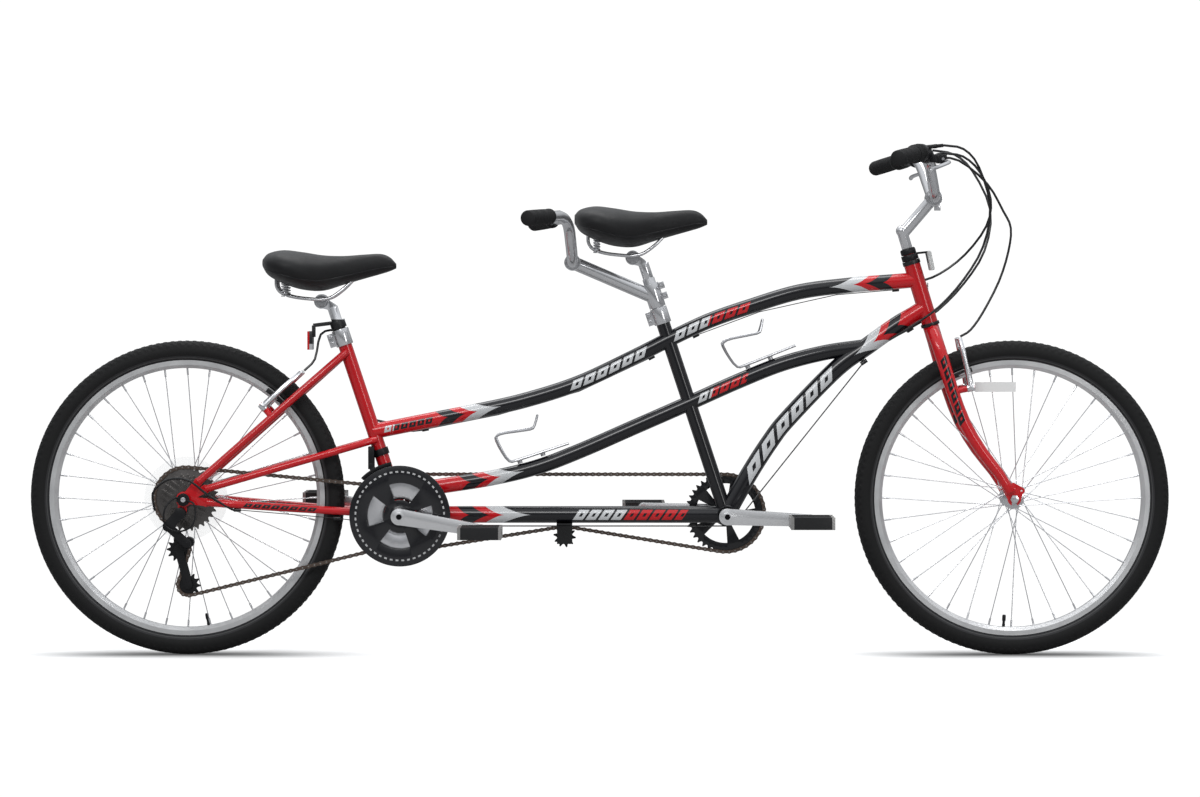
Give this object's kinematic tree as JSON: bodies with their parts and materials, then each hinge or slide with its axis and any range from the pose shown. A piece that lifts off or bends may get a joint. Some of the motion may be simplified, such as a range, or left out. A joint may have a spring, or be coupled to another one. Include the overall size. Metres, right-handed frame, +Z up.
{
  "type": "tandem bicycle",
  "caption": "Tandem bicycle for two riders with a curved steel frame, joined cranks, derailleur gears, rim brakes, two saddles and two sets of handlebars.",
  "frame": {"origin": "on the ground, midway between the two axles, in the middle plane", "axes": "+X forwards, +Y to the riders' left, +Z up"},
  "size_m": [2.354, 0.6316, 1.0509],
  "materials": {
    "red_paint": "gloss",
    "black_paint": "gloss",
    "chrome": "polished",
    "steel": "satin",
    "alloy": "satin",
    "black_plastic": "matte",
    "chain": "oiled",
    "tyre": "matte",
    "saddle_cover": "semi-matte",
    "clear_plastic": "gloss"
  },
  "bodies": {
    "frame": {"head_tube": "red_paint", "top_tubes": "black_paint", "lateral_tubes": "black_paint", "down_tube": "black_paint", "boom_tube": "black_paint", "captain_seat_tube": "black_paint", "stoker_seat_tube": "red_paint", "seat_stays": "red_paint", "chain_stays": "red_paint", "seat_clamps": "alloy", "bottle_cages": "alloy", "frame_fittings": "black_plastic", "derailleur_mounts": "black_plastic", "drive_chain": "chain", "timing_chain": "chain", "frame_cables": "black_plastic"},
    "fork": {"fork": "red_paint", "front_axle": "steel", "front_reflector": "black_plastic", "front_brake_cable": "black_plastic"},
    "stem": {"stem": "chrome"},
    "handlebar": {"captain_handlebar": "chrome"},
    "right_shifter": {"right_shifter": "black_plastic"},
    "left_shifter": {"left_shifter": "black_plastic"},
    "right_brake_lever": {"right_brake_lever": "alloy"},
    "left_brake_lever": {"left_brake_lever": "alloy"},
    "front_wheel": {"front_tyre": "tyre", "front_rim": "alloy", "front_spokes": "alloy", "front_hub": "alloy"},
    "rear_wheel": {"rear_tyre": "tyre", "rear_rim": "alloy", "rear_spokes": "alloy", "rear_hub": "alloy"},
    "freewheel": {"freewheel": "steel"},
    "rear_crankset": {"chainrings": "black_plastic", "rear_cranks": "alloy"},
    "front_crankset": {"front_cranks": "alloy", "front_timing_ring": "black_plastic"},
    "pedal_rear_right": {"pedal_rear_right": "black_plastic"},
    "pedal_rear_left": {"pedal_rear_left": "black_plastic"},
    "pedal_front_right": {"pedal_front_right": "black_plastic"},
    "pedal_front_left": {"pedal_front_left": "black_plastic"},
    "chain_idler": {"chain_idler": "black_plastic"},
    "derailleur_knuckle": {"rear_derailleur_knuckle": "black_plastic"},
    "derailleur_cage": {"rear_derailleur_cage": "black_plastic"},
    "upper_jockey_wheel": {"upper_jockey_wheel": "black_plastic"},
    "lower_jockey_wheel": {"lower_jockey_wheel": "black_plastic"},
    "front_derailleur_cage": {"front_derailleur_cage": "black_plastic"},
    "front_brake_arm_right": {"front_brake_arm_right": "alloy"},
    "front_brake_arm_left": {"front_brake_arm_left": "alloy"},
    "rear_brake_arm_right": {"rear_brake_arm_right": "alloy"},
    "rear_brake_arm_left": {"rear_brake_arm_left": "alloy"},
    "captain_seatpost": {"captain_seatpost": "chrome"},
    "captain_saddle": {"captain_saddle": "saddle_cover", "captain_saddle_rails": "chrome"},
    "stoker_handlebar": {"stoker_handlebar": "chrome"},
    "stoker_seatpost": {"stoker_seatpost": "chrome"},
    "stoker_saddle": {"stoker_saddle": "saddle_cover", "stoker_saddle_rails": "chrome"}
  },
  "joints": [
    {"name": "steering", "type": "hinge", "parent": "frame", "child": "fork", "pos_m": [0.68188, 0, 0.68648], "axis": [-0.2924, 0, 0.9563], "range_deg": [-50, 50], "deforming": ["frame_cables", "front_brake_cable"]},
    {"name": "stem_height", "type": "slide", "parent": "fork", "child": "stem", "axis": [-0.2924, 0, 0.9563], "range_m": [-0.02, 0.04]},
    {"name": "captain_bar_tilt", "type": "hinge", "parent": "stem", "child": "handlebar", "pos_m": [0.68904, 0, 0.94398], "axis": [0, 1, 0], "range_deg": [-12, 12]},
    {"name": "right_shifter_twist", "type": "hinge", "parent": "handlebar", "child": "right_shifter", "pos_m": [0.64724, -0.1647, 1.03115], "axis": [-0.364, -0.9255, -0.105], "range_deg": [0, 120]},
    {"name": "left_shifter_twist", "type": "hinge", "parent": "handlebar", "child": "left_shifter", "pos_m": [0.64724, 0.1647, 1.03115], "axis": [-0.364, 0.9255, -0.105], "range_deg": [0, 60]},
    {"name": "right_lever_pull", "type": "hinge", "parent": "handlebar", "child": "right_brake_lever", "pos_m": [0.69112, -0.1281, 1.01954], "axis": [0, 0, -1], "range_deg": [0, 14], "stiffness_Nm_per_rad": 2, "springref_deg": -5.73},
    {"name": "left_lever_pull", "type": "hinge", "parent": "handlebar", "child": "left_brake_lever", "pos_m": [0.69112, 0.1281, 1.01954], "axis": [0, 0, 1], "range_deg": [0, 14], "stiffness_Nm_per_rad": 2, "springref_deg": -5.73},
    {"name": "front_wheel_spin", "type": "hinge", "parent": "fork", "child": "front_wheel", "pos_m": [0.852, 0, 0.325], "axis": [0, 1, 0], "continuous": true},
    {"name": "rear_wheel_spin", "type": "hinge", "parent": "frame", "child": "rear_wheel", "pos_m": [-0.852, 0, 0.325], "axis": [0, 1, 0], "continuous": true},
    {"name": "rear_crank_spin", "type": "hinge", "parent": "frame", "child": "rear_crankset", "pos_m": [-0.41, 0, 0.29], "axis": [0, 1, 0], "continuous": true, "deforming": ["drive_chain", "timing_chain"]},
    {"name": "front_crank_spin", "type": "hinge", "parent": "frame", "child": "front_crankset", "pos_m": [0.262, 0, 0.29], "axis": [0, 1, 0], "continuous": true},
    {"name": "freewheel_spin", "type": "hinge", "parent": "frame", "child": "freewheel", "pos_m": [-0.852, -0.05, 0.325], "axis": [0, 1, 0], "continuous": true},
    {"name": "idler_spin", "type": "hinge", "parent": "frame", "child": "chain_idler", "pos_m": [-0.07266, 0.046, 0.242], "axis": [0, 1, 0], "continuous": true},
    {"name": "rear_shift", "type": "slide", "parent": "frame", "child": "derailleur_knuckle", "axis": [0, -1, 0], "range_m": [0, 0.027]},
    {"name": "derailleur_cage_swing", "type": "hinge", "parent": "derailleur_knuckle", "child": "derailleur_cage", "pos_m": [-0.844, -0.041, 0.236], "axis": [0, 1, 0], "range_deg": [-10, 15], "stiffness_Nm_per_rad": 1.5},
    {"name": "upper_jockey_spin", "type": "hinge", "parent": "derailleur_cage", "child": "upper_jockey_wheel", "pos_m": [-0.866, -0.037, 0.22], "axis": [0, 1, 0], "continuous": true},
    {"name": "lower_jockey_spin", "type": "hinge", "parent": "derailleur_cage", "child": "lower_jockey_wheel", "pos_m": [-0.847, -0.037, 0.147], "axis": [0, 1, 0], "continuous": true},
    {"name": "front_shift", "type": "slide", "parent": "frame", "child": "front_derailleur_cage", "axis": [0, -1, 0], "range_m": [0, 0.015]},
    {"name": "front_brake_right", "type": "hinge", "parent": "fork", "child": "front_brake_arm_right", "pos_m": [0.76237, -0.038, 0.55319], "axis": [-0.9744, 0, -0.225], "range_deg": [0, 1.5]},
    {"name": "front_brake_left", "type": "hinge", "parent": "fork", "child": "front_brake_arm_left", "pos_m": [0.76237, 0.038, 0.55319], "axis": [0.9744, 0, 0.225], "range_deg": [0, 1.5]},
    {"name": "rear_brake_right", "type": "hinge", "parent": "frame", "child": "rear_brake_arm_right", "pos_m": [-0.69156, -0.038, 0.51387], "axis": [-0.6628, 0, 0.7488], "range_deg": [0, 1.5]},
    {"name": "rear_brake_left", "type": "hinge", "parent": "frame", "child": "rear_brake_arm_left", "pos_m": [-0.69156, 0.038, 0.51387], "axis": [0.6628, 0, -0.7488], "range_deg": [0, 1.5]},
    {"name": "pedal_rear_right_spin", "type": "hinge", "parent": "rear_crankset", "child": "pedal_rear_right", "pos_m": [-0.24233, -0.14, 0.26194], "axis": [0, 1, 0], "continuous": true},
    {"name": "pedal_rear_left_spin", "type": "hinge", "parent": "rear_crankset", "child": "pedal_rear_left", "pos_m": [-0.57767, 0.14, 0.31806], "axis": [0, 1, 0], "continuous": true},
    {"name": "pedal_front_right_spin", "type": "hinge", "parent": "front_crankset", "child": "pedal_front_right", "pos_m": [0.43184, -0.14, 0.28258], "axis": [0, 1, 0], "continuous": true},
    {"name": "pedal_front_left_spin", "type": "hinge", "parent": "front_crankset", "child": "pedal_front_left", "pos_m": [0.09216, 0.14, 0.29741], "axis": [0, 1, 0], "continuous": true},
    {"name": "captain_seat_height", "type": "slide", "parent": "frame", "child": "captain_seatpost", "axis": [-0.314, 0, 0.9494], "range_m": [0, 0.05]},
    {"name": "captain_saddle_tilt", "type": "hinge", "parent": "captain_seatpost", "child": "captain_saddle", "pos_m": [0.06848, 0, 0.82073], "axis": [0, 1, 0], "range_deg": [-8, 8]},
    {"name": "stoker_bar_tilt", "type": "hinge", "parent": "captain_seatpost", "child": "stoker_handlebar", "pos_m": [-0.05562, 0, 0.81096], "axis": [0, 1, 0], "range_deg": [-15, 3]},
    {"name": "stoker_seat_height", "type": "slide", "parent": "frame", "child": "stoker_seatpost", "axis": [-0.314, 0, 0.9494], "range_m": [0, 0.05]},
    {"name": "stoker_saddle_tilt", "type": "hinge", "parent": "stoker_seatpost", "child": "stoker_saddle", "pos_m": [-0.57369, 0, 0.73053], "axis": [0, 1, 0], "range_deg": [-8, 8]}
  ],
  "couplings": [
    {"joint": "front_crank_spin", "follows": "rear_crank_spin", "ratio": 1},
    {"joint": "freewheel_spin", "follows": "rear_crank_spin", "ratio": 0.875},
    {"joint": "idler_spin", "follows": "rear_crank_spin", "ratio": -4},
    {"joint": "upper_jockey_spin", "follows": "rear_crank_spin", "ratio": -2.5455},
    {"joint": "lower_jockey_spin", "follows": "rear_crank_spin", "ratio": 2.5455},
    {"joint": "rear_shift", "follows": "right_shifter_twist", "m_per_rad": 0.012891},
    {"joint": "front_shift", "follows": "left_shifter_twist", "m_per_rad": 0.014323},
    {"joint": "front_brake_right", "follows": "left_lever_pull", "ratio": 0.092857},
    {"joint": "front_brake_left", "follows": "left_lever_pull", "ratio": 0.092857},
    {"joint": "rear_brake_right", "follows": "right_lever_pull", "ratio": 0.092857},
    {"joint": "rear_brake_left", "follows": "right_lever_pull", "ratio": 0.092857}
  ]
}
